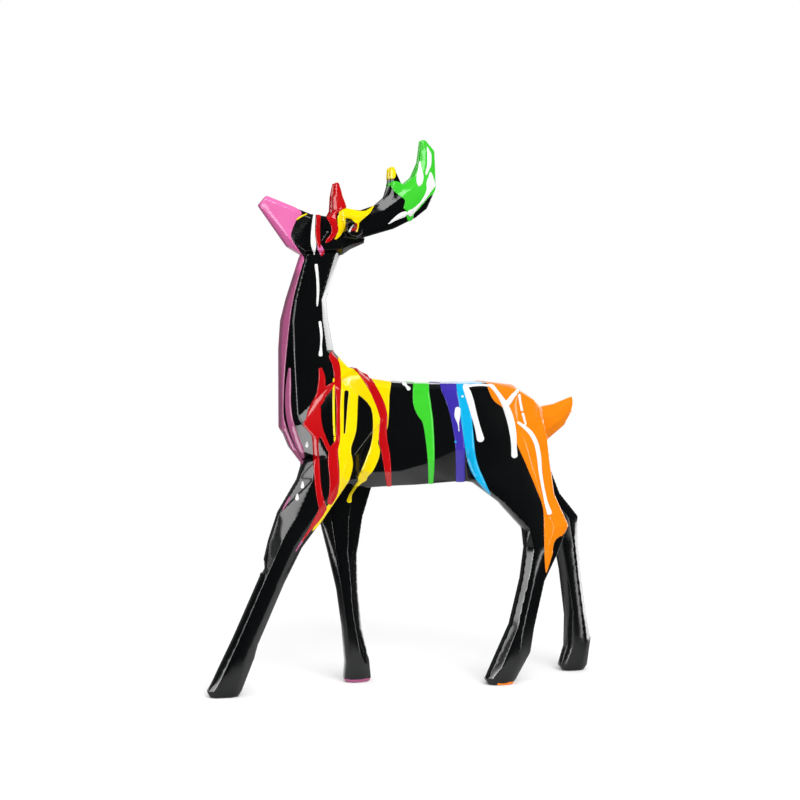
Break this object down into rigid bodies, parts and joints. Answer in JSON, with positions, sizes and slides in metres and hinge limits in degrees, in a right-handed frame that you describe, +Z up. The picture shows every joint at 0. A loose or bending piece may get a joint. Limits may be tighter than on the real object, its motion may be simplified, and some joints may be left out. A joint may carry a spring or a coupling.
{
  "type": "geometric deer statue",
  "caption": "Faceted standing stag statue with raised head and swept back antlers, glossy black with poured enamel runs, stands free on its hooves.",
  "frame": {"origin": "centre of the bounding box, at floor level under the hooves", "axes": "+Z up, the deer faces -X and its left flank is at -Y"},
  "size_m": [0.447, 0.0844, 0.6],
  "materials": {
    "black_lacquer": "gloss lacquer on cast resin",
    "pink_enamel": "poured gloss enamel",
    "red_enamel": "poured gloss enamel",
    "yellow_enamel": "poured gloss enamel",
    "green_enamel": "poured gloss enamel",
    "purple_enamel": "poured gloss enamel",
    "blue_enamel": "poured gloss enamel",
    "white_enamel": "poured gloss enamel",
    "orange_enamel": "poured gloss enamel"
  },
  "bodies": {
    "root": {"deer": "black_lacquer"}
  },
  "joints": []
}
